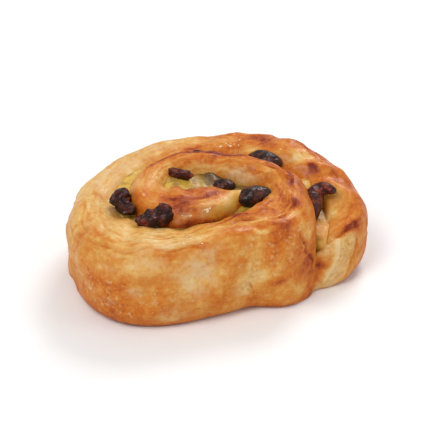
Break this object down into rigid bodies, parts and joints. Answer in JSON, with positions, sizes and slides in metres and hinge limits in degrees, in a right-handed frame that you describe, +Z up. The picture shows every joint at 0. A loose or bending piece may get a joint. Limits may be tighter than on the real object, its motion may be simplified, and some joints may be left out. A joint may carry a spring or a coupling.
{
  "type": "raisin swirl pastry",
  "caption": "Oval coiled pastry of laminated dough, with cream between its turns and raisins set in the coil.",
  "frame": {"origin": "middle of the resting face, under the middle of the outer box", "axes": "+X along the pastry's length to the side where the strip's tail ends, -Y to the tall smooth front wall, +Z up"},
  "size_m": [0.1076, 0.0915, 0.0373],
  "materials": {
    "baked_dough": "golden baked crust with a thin sugar glaze",
    "pastry_cream": "baked yellow cream, moist",
    "raisin_skin": "dark wrinkled fruit skin"
  },
  "bodies": {
    "root": {"dough": "baked_dough", "cream": "pastry_cream", "raisin_left": "raisin_skin", "raisin_front_left": "raisin_skin", "raisin_back": "raisin_skin", "raisin_inner_right": "raisin_skin", "raisin_right": "raisin_skin", "raisin_inner_left": "raisin_skin", "raisin_centre": "raisin_skin", "raisin_far_side": "raisin_skin"}
  },
  "joints": []
}
